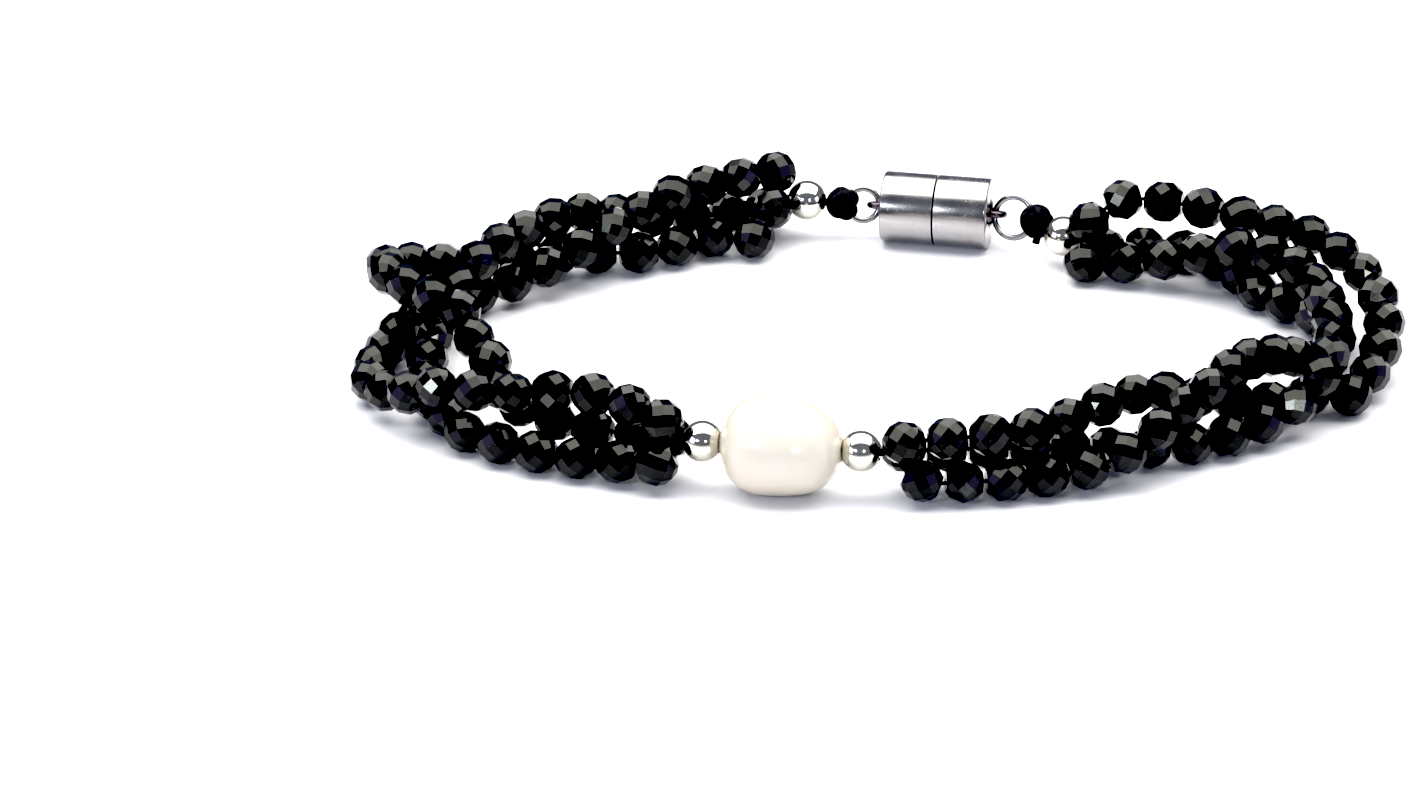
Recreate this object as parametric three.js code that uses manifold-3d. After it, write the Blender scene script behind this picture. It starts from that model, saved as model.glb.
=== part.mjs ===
// A bracelet that lies on a table: three twisted strands of black faceted beads in two halves, a drilled
// freshwater pearl between two silver balls in front, and a two-part barrel clasp at the back, whose
// rings are tied on with knotted thread. Millimetres, +Z up, +X to the right, the front at -Y.
import * as THREE from "three";
import { mergeVertices } from "three/addons/utils/BufferGeometryUtils.js";
import Module from "manifold-3d";

const wasm = await Module();
wasm.setup();

// Plan of the loop: the middle of the strands at its widest, and from the pearl's axis to the clasp's
const LOOP_WIDTH = 67.6;
const LOOP_DEPTH = 42;

// Faceted beads on their strings
const BEAD_DIAMETER = 3;
const BEAD_PITCH = 2.95;
const BEAD_SIDES = 10;
const BEAD_SHOULDER_RADIUS = 1.22;
const BEAD_SHOULDER_OFFSET = 0.8;
const BEAD_RIM_RADIUS = 0.45;
const BEAD_END_RADIUS = 0.26;
const BEAD_CLEARANCE = 0.1;
const STRING_RADIUS = 0.14;
const STRING_LEAD = 1.95; // from the point where the strings part to the middle of the first bead
const STRING_PARTING = 0.25; // from a ball's surface to that point
const STRING_STOP = 0.32; // how far short of that point a string's solid ends

// Silver balls and the thread through them
const BALL_DIAMETER = 2.9;
const BALL_SIDES = 12;
const BORE_RADIUS = 0.42;
const THREAD_RADIUS = 0.28;
const THREAD_SIDES = 8;
const THREAD_REACH = 0.1; // how far the thread shows past a ball

// Pearl: its length, and from its drilled axis up, down and to each side
const PEARL_LENGTH = 8.4;
const PEARL_RISE = 3.5;
const PEARL_DROP = 3.4;
const PEARL_SIDE = 3.55;
const PEARL_SIDES = 14;
const PEARL_FULLEST = -0.12; // where it is thickest, as a share of its half length
const PEARL_CREST = -0.2; // where its top starts to fall away to the right, as such a share
const PEARL_FALL = 0.22; // the share of its rise that is lost one half length further on
const DIMPLE_DEPTH = 0.3;
const DIMPLE_RADIUS = 0.85;
const SEAT_GAP = 0.12;
const FRONT_X = -7.1;
const FRONT_TURN = -8.5; // degrees

// Barrel clasp in two halves that meet face to face, with an eye on each end
const BARREL_DIAMETER = 5.1;
const BARREL_LENGTH = 7.8;
const BARREL_SIDES = 24;
const BARREL_CHAMFER = 0.22;
const BARREL_SEAM = 0.14;
const BARREL_X = 4.4;
const BARREL_TURN = -10.4; // degrees
const EYE_RADIUS = 0.66;
const EYE_WIRE = 0.5;
const EYE_STANDOFF = 0.34; // from the barrel's end to the middle of the eye
const RING_WIRE = 0.44;
const RING_LEAN = 20; // degrees that a ring leans away from upright

// Knotted thread at each ring: lumps as shares of the knot's radius, along the cord, across it and up
const KNOT_RADIUS = 1.08;
const KNOT_INSET = 0.3; // from the middle of the ring's wire to the middle of the knot
const KNOT_CLEARANCE = 0.1;
const KNOT_LUMPS = [
  { along: -0.08, across: 0.1, up: 0.12, size: 0.95 },
  { along: 0.24, across: -0.22, up: -0.12, size: 0.76 },
  { along: -0.16, across: -0.06, up: -0.34, size: 0.7 },
];

// Each end of the clasp: its ring, the way that ring and the cord run (degrees on from the barrel's own
// direction there, the cord's also up or down), and how far the knot's short end hangs
const CLASP_ENDS = {
  left: { side: -1, ringDiameter: 2.75, ringTurn: 4, cordTurn: 6, cordRise: 4, tail: 0 },
  right: { side: 1, ringDiameter: 3.4, ringTurn: -14, cordTurn: -34, cordRise: -7, tail: 0.9 },
};

// Middle line of each half in plan, from the front to the back, between the balls: shares of half the
// loop's width and of half its depth
const PLAN = {
  left: [
    [-0.54, -0.89], [-0.64, -0.84], [-0.74, -0.78], [-0.85, -0.68], [-0.94, -0.51], [-0.99, -0.25],
    [-0.99, 0.04], [-0.95, 0.29], [-0.86, 0.47], [-0.74, 0.62], [-0.59, 0.755], [-0.42, 0.885],
    [-0.27, 0.975],
  ],
  right: [
    [0.13, -1.08], [0.235, -1.075], [0.325, -1.03], [0.415, -0.955], [0.585, -0.795], [0.755, -0.615],
    [0.855, -0.48], [0.94, -0.32], [0.99, -0.13], [1.005, 0.07], [0.98, 0.26], [0.915, 0.415],
    [0.83, 0.545], [0.74, 0.64], [0.645, 0.71], [0.54, 0.745],
  ],
};

// How the three strings a, b and c of each half lie in the twist: at a share of the way along the half,
// each string's [distance outwards from the middle line, height above the table] in bead diameters
const TWIST = {
  left: [
    { at: 0.025, a: [-0.33, 1.67], b: [-0.73, 0.93], c: [-0.07, 0.53] },
    { at: 0.07, a: [-0.6, 1.73], b: [-0.57, 0.87], c: [0.23, 0.5] },
    { at: 0.13, a: [-0.47, 1.7], b: [-0.7, 0.93], c: [0.37, 0.5] },
    { at: 0.19, a: [-0.1, 1.5], b: [-0.93, 0.97], c: [0.27, 0.5] },
    { at: 0.25, a: [0.07, 1.23], b: [-1.47, 1.03], c: [0.1, 0.5] },
    { at: 0.31, a: [0.57, 0.77], b: [-1.73, 1.23], c: [-0.23, 0.5] },
    { at: 0.37, a: [1, 0.53], b: [-1.63, 1.43], c: [-0.5, 0.53] },
    { at: 0.43, a: [0.5, 0.5], b: [-1.23, 1.73], c: [-0.6, 0.67] },
    { at: 0.49, a: [0.3, 0.5], b: [0.03, 1.7], c: [-0.75, 0.8] },
    { at: 0.55, a: [-0.07, 0.5], b: [1.03, 1.4], c: [-0.8, 1.1] },
    { at: 0.63, a: [-0.5, 0.53], b: [0.9, 0.77], c: [-0.47, 1.5] },
    { at: 0.71, a: [-0.67, 0.7], b: [0.47, 0.5], c: [0.1, 1.6] },
    { at: 0.79, a: [-0.47, 1.2], b: [-0.23, 0.5], c: [0.57, 1.33] },
    { at: 0.87, a: [0.23, 1.63], b: [-0.47, 0.5], c: [0.67, 0.67] },
    { at: 0.94, a: [0.4, 1.73], b: [-0.43, 0.53], c: [0.43, 0.53] },
    { at: 0.98, a: [0.13, 1.63], b: [-0.63, 0.8], c: [0.4, 0.6] },
  ],
  right: [
    { at: 0.03, a: [-0.13, 1.47], b: [-0.6, 0.87], c: [0.03, 0.5] },
    { at: 0.08, a: [-0.07, 1.6], b: [-0.7, 0.93], c: [-0.03, 0.5] },
    { at: 0.14, a: [-0.17, 1.53], b: [-0.73, 0.9], c: [-0.07, 0.5] },
    { at: 0.2, a: [-0.33, 1.63], b: [-0.53, 0.67], c: [0.13, 0.53] },
    { at: 0.26, a: [-0.67, 1.73], b: [0, 0.5], c: [0.4, 0.9] },
    { at: 0.32, a: [-0.67, 1.43], b: [0.37, 0.5], c: [0.1, 1.43] },
    { at: 0.38, a: [-0.8, 0.87], b: [0.5, 0.5], c: [-0.57, 1.7] },
    { at: 0.44, a: [-0.33, 0.5], b: [0.47, 0.5], c: [-0.93, 1.57] },
    { at: 0.5, a: [0.6, 0.5], b: [-0.07, 0.87], c: [-0.9, 1.07] },
    { at: 0.56, a: [0.6, 0.77], b: [-0.47, 1.13], c: [-0.8, 0.53] },
    { at: 0.63, a: [0.53, 1.2], b: [-0.83, 1.4], c: [-0.6, 0.5] },
    { at: 0.7, a: [0.33, 1.63], b: [-0.77, 1.47], c: [-0.73, 0.5] },
    { at: 0.77, a: [0.1, 1.73], b: [-0.53, 1.4], c: [-0.9, 0.5] },
    { at: 0.84, a: [0.3, 1.73], b: [-0.5, 0.97], c: [-0.33, 0.5] },
    { at: 0.9, a: [0.33, 1.73], b: [-0.4, 0.53], c: [0.27, 0.5] },
    { at: 0.95, a: [0.43, 1.73], b: [-0.73, 0.53], c: [0.4, 0.53] },
    { at: 0.98, a: [0.1, 1.6], b: [-0.53, 0.67], c: [0.33, 0.67] },
  ],
};
const STRINGS = ["a", "b", "c"];

// Bare string before the first bead, over and above the usual lead
const LATE_START = { left: { a: 0, b: 0, c: 0.3 }, right: { a: 0, b: 0.2, c: 1.2 } };

// Settling of the beads
const SETTLE_ROUNDS = 900;
const SETTLE_HOMING = 0.06;
const SETTLE_STRIDE = 1.2;

const BEAD_RADIUS = BEAD_DIAMETER / 2;
const BALL_RADIUS = BALL_DIAMETER / 2;
const UP = new THREE.Vector3(0, 0, 1);

const radians = THREE.MathUtils.degToRad;

function material(color, roughness, metalness) {
  return new THREE.MeshStandardMaterial({ color, roughness, metalness });
}

const STRAND_MATERIAL = material("#0d0d13", 0.12, 0);
const PEARL_MATERIAL = material("#f4ecdc", 0.22, 0);
const SILVER_MATERIAL = material("#d9d8d4", 0.12, 1);
const STEEL_MATERIAL = material("#c9c9cc", 0.25, 1);
const THREAD_MATERIAL = material("#0b0a0f", 0.9, 0);

function mesh(name, geometry, look) {
  const made = new THREE.Mesh(geometry, look.clone());
  made.name = name;
  return made;
}

// A geometry as a solid that can be joined and cut
function solid(geometry) {
  const bare = new THREE.BufferGeometry();
  bare.setAttribute("position", geometry.getAttribute("position").clone());
  bare.setIndex(geometry.index);
  const merged = mergeVertices(bare, 1e-4);
  return new wasm.Manifold(
    new wasm.Mesh({
      numProp: 3,
      vertProperties: merged.attributes.position.array,
      triVerts: new Uint32Array(merged.index.array),
    }),
  );
}

function geometryOf(body) {
  const cut = body.getMesh();
  const made = new THREE.BufferGeometry();
  made.setAttribute("position", new THREE.BufferAttribute(cut.vertProperties, 3));
  made.setIndex(new THREE.BufferAttribute(cut.triVerts, 1));
  return made;
}

// A unit vector that leans `rise` degrees up from the level direction `turn`
function heading(turn, rise = 0) {
  const level = Math.cos(radians(rise));
  return new THREE.Vector3(
    Math.cos(radians(turn)) * level,
    Math.sin(radians(turn)) * level,
    Math.sin(radians(rise)),
  );
}

// Moves a geometry made along +Y so that it runs along `direction` from `origin`, with its own +Z up
function aim(geometry, origin, direction) {
  const side = new THREE.Vector3().crossVectors(direction, UP).normalize();
  const top = new THREE.Vector3().crossVectors(side, direction);
  return geometry.applyMatrix4(new THREE.Matrix4().makeBasis(side, direction, top).setPosition(origin));
}

// A profile round a bore, closed on itself: points of a Vector2 list, from one end of the bore to the other
function drilled(profile, sides) {
  return new THREE.LatheGeometry([...profile, profile[0].clone()], sides);
}

function ballGeometry() {
  const steps = 8;
  const start = Math.asin(BORE_RADIUS / BALL_RADIUS);
  const profile = [];
  for (let k = 0; k <= steps; k += 1) {
    const angle = start + ((Math.PI - 2 * start) * k) / steps;
    profile.push(new THREE.Vector2(BALL_RADIUS * Math.sin(angle), -BALL_RADIUS * Math.cos(angle)));
  }
  return drilled(profile, BALL_SIDES);
}

// Half the pearl's girth at a share s of its half length: a full oval, fullest at PEARL_FULLEST
function pearlGirth(s) {
  const far = s < PEARL_FULLEST ? 1 + PEARL_FULLEST : 1 - PEARL_FULLEST;
  const reach = Math.abs(s - PEARL_FULLEST) / far;
  return (1 - reach ** 2.7) ** (1 / 2.2);
}

// The pearl along +Y: a lathed oval with a dimple round each end of its bore, then drawn out to its own
// rise, drop and side, which fade away towards the bore
function pearlGeometry() {
  const half = PEARL_LENGTH / 2;
  const steps = 9;
  const profile = [new THREE.Vector2(BORE_RADIUS, -half + DIMPLE_DEPTH)];
  for (let k = 0; k <= steps; k += 1) {
    const s = Math.sin((Math.PI / 2) * ((2 * k) / steps - 1));
    const edge = Math.abs(s) === 1;
    const girth = edge ? DIMPLE_RADIUS : Math.max(DIMPLE_RADIUS, PEARL_SIDE * pearlGirth(s));
    profile.push(new THREE.Vector2(girth, half * s));
  }
  profile.push(new THREE.Vector2(BORE_RADIUS, half - DIMPLE_DEPTH));
  const geometry = drilled(profile, PEARL_SIDES);
  const position = geometry.attributes.position;
  for (let i = 0; i < position.count; i += 1) {
    const x = position.getX(i);
    const z = position.getZ(i);
    const radius = Math.hypot(x, z);
    const share = Math.max(0, (radius - DIMPLE_RADIUS) / (PEARL_SIDE - DIMPLE_RADIUS));
    const beyond = Math.max(0, position.getY(i) / half - PEARL_CREST);
    const reach = z > 0 ? PEARL_RISE * (1 - PEARL_FALL * beyond ** 2) : PEARL_DROP;
    const upright = (z / radius) ** 2;
    const scale = 1 + share * upright * (reach / PEARL_SIDE - 1);
    position.setX(i, x * scale);
    position.setZ(i, z * scale);
  }
  return geometry;
}

function cordGeometry(length) {
  return new THREE.CylinderGeometry(THREAD_RADIUS, THREAD_RADIUS, length, THREAD_SIDES);
}

// Front: the pearl and its two balls on one thread
const front = {
  centre: new THREE.Vector3(FRONT_X, -LOOP_DEPTH / 2, PEARL_DROP),
  direction: heading(FRONT_TURN),
};
const dimpleMeet = Math.sqrt(BALL_RADIUS ** 2 - DIMPLE_RADIUS ** 2);
const frontBallAt = PEARL_LENGTH / 2 + dimpleMeet + SEAT_GAP;
const mouthAt = BALL_RADIUS + STRING_PARTING;

function onFront(distance) {
  return front.centre.clone().addScaledVector(front.direction, distance);
}

function frontPieces() {
  const reach = 2 * (frontBallAt + BALL_RADIUS + THREAD_REACH);
  return [
    mesh("pearl", aim(pearlGeometry(), front.centre, front.direction), PEARL_MATERIAL),
    mesh("ball_front_left", aim(ballGeometry(), onFront(-frontBallAt), front.direction), SILVER_MATERIAL),
    mesh("ball_front_right", aim(ballGeometry(), onFront(frontBallAt), front.direction), SILVER_MATERIAL),
    mesh("thread_front", aim(cordGeometry(reach), front.centre, front.direction), THREAD_MATERIAL),
  ];
}

// Back: where the eye, ring, knot and ball of one end of the clasp lie
const barrelFlat = (BARREL_DIAMETER / 2) * Math.cos(Math.PI / BARREL_SIDES);
const barrelCentre = new THREE.Vector3(BARREL_X, LOOP_DEPTH / 2, barrelFlat);

function claspEnd({ side, ringDiameter, ringTurn, cordTurn, cordRise }) {
  const base = BARREL_TURN + (side < 0 ? 180 : 0);
  const along = heading(base);
  const ringAlong = heading(base + ringTurn);
  const cordAlong = heading(base + cordTurn, cordRise);
  const ringRadius = (ringDiameter - RING_WIRE) / 2;
  const eye = barrelCentre.clone().addScaledVector(along, BARREL_LENGTH / 2 + EYE_STANDOFF);
  const ring = eye.clone().addScaledVector(ringAlong, ringRadius);
  const knot = ring.clone().addScaledVector(ringAlong, ringRadius + KNOT_INSET);
  const ball = knot.clone().addScaledVector(cordAlong, KNOT_RADIUS + BALL_RADIUS + SEAT_GAP);
  const mouth = ball.clone().addScaledVector(cordAlong, mouthAt);
  return { along, ringAlong, cordAlong, ringRadius, eye, ring, knot, ball, mouth };
}

const ends = { left: claspEnd(CLASP_ENDS.left), right: claspEnd(CLASP_ENDS.right) };

// A closed ring of wire in the upright plane along `direction`, its top leaning back by RING_LEAN
function ringGeometry(centre, direction, radius, wire, sides, steps) {
  const geometry = new THREE.TorusGeometry(radius, wire / 2, sides, steps);
  geometry.rotateX(Math.PI / 2 - radians(RING_LEAN) * Math.sign(direction.x));
  const turn = new THREE.Quaternion().setFromUnitVectors(new THREE.Vector3(1, 0, 0), direction);
  return geometry.applyQuaternion(turn).translate(centre.x, centre.y, centre.z);
}

// Half of the barrel, from the seam out to its end, with the eye that carries the ring
function claspHalf(end) {
  const radius = BARREL_DIAMETER / 2;
  const length = BARREL_LENGTH / 2;
  const barrel = new THREE.LatheGeometry(
    [
      new THREE.Vector2(0, BARREL_SEAM / 2),
      new THREE.Vector2(radius, BARREL_SEAM / 2),
      new THREE.Vector2(radius, length - BARREL_CHAMFER),
      new THREE.Vector2(radius - BARREL_CHAMFER, length),
      new THREE.Vector2(0, length),
    ],
    BARREL_SIDES,
  );
  barrel.rotateY(Math.PI / BARREL_SIDES);
  const eye = new THREE.TorusGeometry(EYE_RADIUS, EYE_WIRE / 2, 6, 12);
  eye.rotateX(-radians(RING_LEAN) * Math.sign(end.along.x));
  const turn = new THREE.Quaternion().setFromUnitVectors(new THREE.Vector3(1, 0, 0), end.along);
  eye.applyQuaternion(turn).translate(end.eye.x, end.eye.y, end.eye.z);
  return geometryOf(solid(aim(barrel, barrelCentre, end.along)).add(solid(eye)));
}

// The cord of one end: lumps of a knot round the ring's wire, its short end, and the thread through the ball
function cordEnd(end, { tail }) {
  const across = new THREE.Vector3().crossVectors(UP, end.cordAlong).normalize();
  const top = new THREE.Vector3().crossVectors(end.cordAlong, across);
  const place = (along, aside, up) =>
    end.knot
      .clone()
      .addScaledVector(end.cordAlong, along * KNOT_RADIUS)
      .addScaledVector(across, aside * KNOT_RADIUS)
      .addScaledVector(top, up * KNOT_RADIUS);
  const length = KNOT_RADIUS + SEAT_GAP + 2 * BALL_RADIUS + THREAD_REACH;
  const cord = aim(cordGeometry(length), end.knot.clone().addScaledVector(end.cordAlong, length / 2), end.cordAlong);
  let body = solid(cord);
  for (const lump of KNOT_LUMPS) {
    const middle = place(lump.along, lump.across, lump.up);
    const ball = new THREE.SphereGeometry(KNOT_RADIUS * lump.size, 10, 6);
    body = body.add(solid(ball.translate(middle.x, middle.y, middle.z)));
  }
  if (tail > 0) {
    const stub = new THREE.SphereGeometry(KNOT_RADIUS * 0.34, 8, 5);
    const middle = place(0.3, -0.1, -tail);
    body = body.add(solid(stub.translate(middle.x, middle.y, middle.z)));
  }
  const channel = ringGeometry(end.ring, end.ringAlong, end.ringRadius, RING_WIRE + 2 * KNOT_CLEARANCE, 6, 16);
  return geometryOf(body.subtract(solid(channel)));
}

function backPieces() {
  return Object.entries(ends).flatMap(([name, end]) => [
    mesh(`clasp_half_${name}`, claspHalf(end), STEEL_MATERIAL),
    mesh(`ring_${name}`, ringGeometry(end.ring, end.ringAlong, end.ringRadius, RING_WIRE, 6, 16), STEEL_MATERIAL),
    mesh(`knotted_cord_${name}`, cordEnd(end, CLASP_ENDS[name]), THREAD_MATERIAL),
    mesh(`ball_back_${name}`, aim(ballGeometry(), end.ball, end.cordAlong), SILVER_MATERIAL),
  ]);
}

// The strings' routes of one half as curves, from the front ball's mouth to the back ball's
function routes(name) {
  const side = name === "left" ? -1 : 1;
  const start = onFront(side * (frontBallAt + mouthAt));
  const finish = ends[name].mouth;
  const inner = PLAN[name].map(([x, y]) => new THREE.Vector3((x * LOOP_WIDTH) / 2, (y * LOOP_DEPTH) / 2, 0));
  const plan = new THREE.CatmullRomCurve3(
    [start.clone().setZ(0), ...inner, finish.clone().setZ(0)],
    false,
    "catmullrom",
  );
  return STRINGS.map((string) => {
    const points = TWIST[name].map((row) => {
      const tangent = plan.getTangentAt(row.at);
      const outwards = new THREE.Vector3(tangent.y, -tangent.x, 0).multiplyScalar(side);
      const [out, height] = row[string];
      return plan
        .getPointAt(row.at)
        .addScaledVector(outwards, out * BEAD_DIAMETER)
        .setZ(height * BEAD_DIAMETER);
    });
    return new THREE.CatmullRomCurve3([start.clone(), ...points, finish.clone()], false, "catmullrom");
  });
}

// Beads of one string at their first places: as many as the route holds, evenly spaced between its leads
function threadBeads(name, string, route) {
  const lead = STRING_LEAD + LATE_START[name][string];
  const room = route.getLength() - lead - STRING_LEAD;
  const count = Math.round(room / BEAD_PITCH) + 1;
  const pitch = room / (count - 1);
  const beads = [];
  for (let k = 0; k < count; k += 1) beads.push(route.getPointAt((lead + k * pitch) / route.getLength()));
  return {
    name: `strand_${name}_${string}`,
    beads,
    lead,
    pitch,
    from: route.getPoint(0),
    to: route.getPoint(1),
  };
}

// Lets all beads settle: links keep their length, beads keep clear of each other, of the balls, of the
// pearl and of the table, and for the first half of the rounds they are drawn back to their first places
function settle(strands) {
  const beads = strands.flatMap((strand) => strand.beads);
  const home = beads.map((bead) => bead.clone());
  const links = [];
  const tied = new Set();
  let base = 0;
  for (const { beads: own, lead, pitch, from, to } of strands) {
    links.push({ a: base, anchor: from, length: lead });
    for (let k = 1; k < own.length; k += 1) {
      links.push({ a: base + k - 1, b: base + k, length: pitch });
      tied.add((base + k - 1) * beads.length + base + k);
    }
    base += own.length;
    links.push({ a: base - 1, anchor: to, length: STRING_LEAD });
  }
  const apart = BEAD_DIAMETER + BEAD_CLEARANCE;
  const stones = [
    ...[onFront(-frontBallAt), onFront(frontBallAt), ends.left.ball, ends.right.ball].map((centre) => ({
      centre,
      reach: BALL_RADIUS + BEAD_RADIUS + BEAD_CLEARANCE,
    })),
    { centre: front.centre, reach: PEARL_SIDE + BEAD_RADIUS + BEAD_CLEARANCE },
  ];
  const step = new THREE.Vector3();
  for (let round = 0; round < SETTLE_ROUNDS; round += 1) {
    const moves = beads.map(() => new THREE.Vector3());
    const counts = new Array(beads.length).fill(0);
    const push = (index, vector, scale) => {
      moves[index].addScaledVector(vector, scale);
      counts[index] += 1;
    };
    for (const { a, b, anchor, length } of links) {
      step.subVectors(anchor ?? beads[b], beads[a]);
      const far = step.length();
      if (anchor) {
        push(a, step, (far - length) / far);
      } else {
        push(a, step, (far - length) / far / 2);
        push(b, step, (length - far) / far / 2);
      }
    }
    for (let i = 0; i < beads.length; i += 1) {
      for (let j = i + 1; j < beads.length; j += 1) {
        if (tied.has(i * beads.length + j)) continue;
        step.subVectors(beads[j], beads[i]);
        const far = step.length();
        if (far >= apart) continue;
        push(i, step, (far - apart) / far / 2);
        push(j, step, (apart - far) / far / 2);
      }
      for (const { centre, reach } of stones) {
        step.subVectors(beads[i], centre);
        const far = step.length();
        if (far < reach) push(i, step, (reach - far) / far);
      }
      if (beads[i].z < BEAD_RADIUS) push(i, UP, BEAD_RADIUS - beads[i].z);
    }
    beads.forEach((bead, i) => {
      bead.addScaledVector(moves[i], SETTLE_STRIDE / Math.max(counts[i], 1));
      if (round < SETTLE_ROUNDS / 2) bead.lerp(home[i], SETTLE_HOMING);
    });
  }
}

// One fused string of beads. A straight string is lathed ring by ring, and each ring is then set square to
// its bead's axis, half a step on from the ring before it, so that the faces lie as on a cut bead
function strandGeometry({ beads, pitch, from, to }) {
  const half = pitch / 2;
  const last = beads.length - 1;
  const towards = (bead, goal, distance) => bead.clone().add(goal.clone().sub(bead).setLength(distance));
  const joints = [towards(beads[0], from, half)];
  for (let k = 1; k <= last; k += 1) joints.push(beads[k - 1].clone().lerp(beads[k], 0.5));
  joints.push(towards(beads[last], to, half));
  const rings = [];
  const first = beads[0].clone().sub(from).normalize();
  const final = to.clone().sub(beads[last]).normalize();
  const start = from.clone().addScaledVector(first, STRING_STOP);
  const stop = to.clone().addScaledVector(final, -STRING_STOP);
  rings.push({ at: start, axis: first, radius: 0 });
  rings.push({ at: start, axis: first, radius: STRING_RADIUS });
  rings.push({ at: joints[0], axis: first, radius: STRING_RADIUS });
  rings.push({ at: joints[0], axis: first, radius: BEAD_END_RADIUS });
  beads.forEach((bead, k) => {
    const axis = joints[k + 1].clone().sub(joints[k]).normalize();
    for (const offset of [-BEAD_SHOULDER_OFFSET, 0, BEAD_SHOULDER_OFFSET]) {
      rings.push({
        at: bead.clone().addScaledVector(axis, offset),
        axis,
        radius: offset === 0 ? BEAD_RADIUS : BEAD_SHOULDER_RADIUS,
      });
    }
    if (k < last) {
      const between = beads[k + 1].clone().sub(bead).normalize();
      rings.push({ at: joints[k + 1], axis: between, radius: BEAD_RIM_RADIUS });
    }
  });
  rings.push({ at: joints[last + 1], axis: final, radius: BEAD_END_RADIUS });
  rings.push({ at: joints[last + 1], axis: final, radius: STRING_RADIUS });
  rings.push({ at: stop, axis: final, radius: STRING_RADIUS });
  rings.push({ at: stop, axis: final, radius: 0 });

  const profile = rings.map((ring, j) => new THREE.Vector2(ring.radius, j));
  const geometry = new THREE.LatheGeometry(profile, BEAD_SIDES);
  const position = geometry.attributes.position;
  const across = UP.clone();
  const frames = rings.map(({ axis }) => {
    across.addScaledVector(axis, -across.dot(axis)).normalize();
    return { u: across.clone(), v: new THREE.Vector3().crossVectors(axis, across) };
  });
  for (let index = 0; index < position.count; index += 1) {
    const column = Math.floor(index / rings.length) % BEAD_SIDES;
    const j = index % rings.length;
    const angle = ((column + j / 2) * 2 * Math.PI) / BEAD_SIDES;
    const point = rings[j].at
      .clone()
      .addScaledVector(frames[j].u, rings[j].radius * Math.cos(angle))
      .addScaledVector(frames[j].v, rings[j].radius * Math.sin(angle));
    position.setXYZ(index, point.x, point.y, point.z);
  }
  geometry.deleteAttribute("normal");
  geometry.deleteAttribute("uv");
  return geometry;
}

function strandPieces() {
  const strands = ["left", "right"].flatMap((name) =>
    routes(name).map((route, k) => threadBeads(name, STRINGS[k], route)),
  );
  settle(strands);
  return strands.map((strand) => mesh(strand.name, strandGeometry(strand), STRAND_MATERIAL));
}

// The whole bracelet, moved so that the middle of its underside is the origin
const bracelet = new THREE.Group();
bracelet.add(...frontPieces(), ...backPieces(), ...strandPieces());
const box = new THREE.Box3().setFromObject(bracelet, true);
const middle = box.getCenter(new THREE.Vector3());
bracelet.children.forEach((piece) => piece.geometry.translate(-middle.x, -middle.y, -box.min.z));

export default bracelet;
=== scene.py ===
import bpy
import numpy as np
from bpy.props import FloatProperty, FloatVectorProperty, IntProperty, PointerProperty
from bpy.types import Operator, Panel, PropertyGroup
from mathutils import Matrix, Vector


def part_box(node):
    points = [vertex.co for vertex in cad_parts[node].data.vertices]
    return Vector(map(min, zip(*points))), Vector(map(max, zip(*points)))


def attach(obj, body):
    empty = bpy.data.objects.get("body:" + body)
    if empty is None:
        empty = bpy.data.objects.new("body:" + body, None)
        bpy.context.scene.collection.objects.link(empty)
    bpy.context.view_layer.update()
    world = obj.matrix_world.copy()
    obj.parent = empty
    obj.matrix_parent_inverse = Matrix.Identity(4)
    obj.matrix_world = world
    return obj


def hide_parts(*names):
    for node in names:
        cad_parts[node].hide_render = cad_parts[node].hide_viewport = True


bl_info = {
    "name": "Twisted bead bracelet",
    "version": (1, 0, 0),
    "blender": (4, 5, 0),
    "location": "View3D > Sidebar > Bracelet",
    "description": "Faceted bead strings, a pearl, silver balls and a barrel clasp over the bracelet's frame",
    "category": "Object",
}

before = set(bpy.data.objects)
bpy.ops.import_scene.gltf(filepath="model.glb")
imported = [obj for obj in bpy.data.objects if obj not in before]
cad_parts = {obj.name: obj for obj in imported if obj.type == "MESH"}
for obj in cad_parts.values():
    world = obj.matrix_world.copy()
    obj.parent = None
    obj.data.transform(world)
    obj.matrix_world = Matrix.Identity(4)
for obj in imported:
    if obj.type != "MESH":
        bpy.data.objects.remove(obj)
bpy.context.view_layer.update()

# Middle line of each half in plan, from the front to the back: shares of half the loop's width and depth
PLAN = {
    "left": [
        (-0.54, -0.89), (-0.64, -0.84), (-0.74, -0.78), (-0.85, -0.68), (-0.94, -0.51), (-0.99, -0.25),
        (-0.99, 0.04), (-0.95, 0.29), (-0.86, 0.47), (-0.74, 0.62), (-0.59, 0.755), (-0.42, 0.885),
        (-0.27, 0.975),
    ],
    "right": [
        (0.13, -1.08), (0.235, -1.075), (0.325, -1.03), (0.415, -0.955), (0.585, -0.795), (0.755, -0.615),
        (0.855, -0.48), (0.94, -0.32), (0.99, -0.13), (1.005, 0.07), (0.98, 0.26), (0.915, 0.415),
        (0.83, 0.545), (0.74, 0.64), (0.645, 0.71), (0.54, 0.745),
    ],
}

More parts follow.
